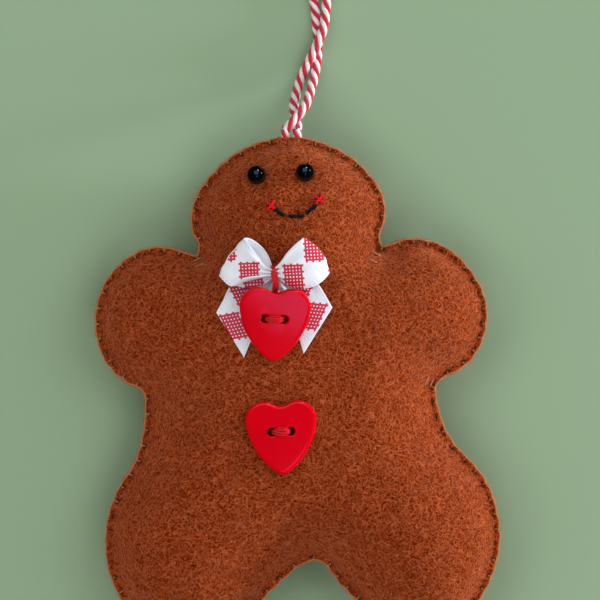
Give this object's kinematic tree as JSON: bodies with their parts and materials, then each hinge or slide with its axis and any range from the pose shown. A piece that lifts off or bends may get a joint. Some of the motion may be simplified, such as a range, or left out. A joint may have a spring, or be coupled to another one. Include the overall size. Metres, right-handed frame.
{
  "type": "felt christmas ornament",
  "caption": "Stuffed felt gingerbread figure with stitched edge and face, bead eyes, ribbon bow and heart buttons, hung by a twisted twine loop sewn into the top of its head.",
  "frame": {"origin": "middle of the figure's footprint, on the surface it lies on", "axes": "+X to the right as seen from the front, +Y from the feet to the head, +Z out of the front of the figure"},
  "size_m": [0.085, 0.1589, 0.0257],
  "materials": {
    "brown_felt": "matte wool felt",
    "white_fibre": "loose polyester fibre",
    "tan_thread": "sewing thread",
    "twine": "red and white twisted cotton",
    "black_bead": "opaque polished black",
    "black_thread": "stranded cotton",
    "red_thread": "stranded cotton",
    "ribbon": "white woven ribbon with red checked patches",
    "red_button": "polished"
  },
  "bodies": {
    "figure": {"front_felt": "brown_felt", "back_felt": "brown_felt", "filling": "white_fibre", "edge_stitching": "tan_thread", "loop_anchor": "twine", "left_eye_thread": "black_thread", "right_eye_thread": "black_thread", "mouth_thread": "black_thread", "left_cheek_stitch": "red_thread", "right_cheek_stitch": "red_thread", "bow_ribbon": "ribbon", "bow_tie_thread": "red_thread", "upper_button_thread": "red_thread", "lower_button_thread": "red_thread"},
    "hanging_loop": {"hanging_loop": "twine"},
    "left_eye": {"left_eye_bead": "black_bead"},
    "right_eye": {"right_eye_bead": "black_bead"},
    "upper_button": {"upper_heart_button": "red_button"},
    "lower_button": {"lower_heart_button": "red_button"}
  },
  "joints": [
    {"name": "loop_swing", "type": "hinge", "parent": "figure", "child": "hanging_loop", "pos_m": [0.0013, 0.05476, 0.009], "axis": [1, 0, 0], "range_deg": [0, 110]},
    {"name": "left_eye_spin", "type": "hinge", "parent": "figure", "child": "left_eye", "pos_m": [-0.0062, 0.04556, 0.01678], "axis": [1, 0, 0], "continuous": true},
    {"name": "right_eye_spin", "type": "hinge", "parent": "figure", "child": "right_eye", "pos_m": [0.004, 0.04566, 0.01703], "axis": [1, 0, 0], "continuous": true},
    {"name": "upper_button_turn", "type": "hinge", "parent": "figure", "child": "upper_button", "pos_m": [-0.0033, 0.01546, 0.02214], "axis": [0, -0.1736, 0.9848], "range_deg": [-12, 12]},
    {"name": "lower_button_turn", "type": "hinge", "parent": "figure", "child": "lower_button", "pos_m": [-0.00345, -0.00849, 0.01998], "axis": [0, 0, 1], "range_deg": [-12, 12]}
  ]
}
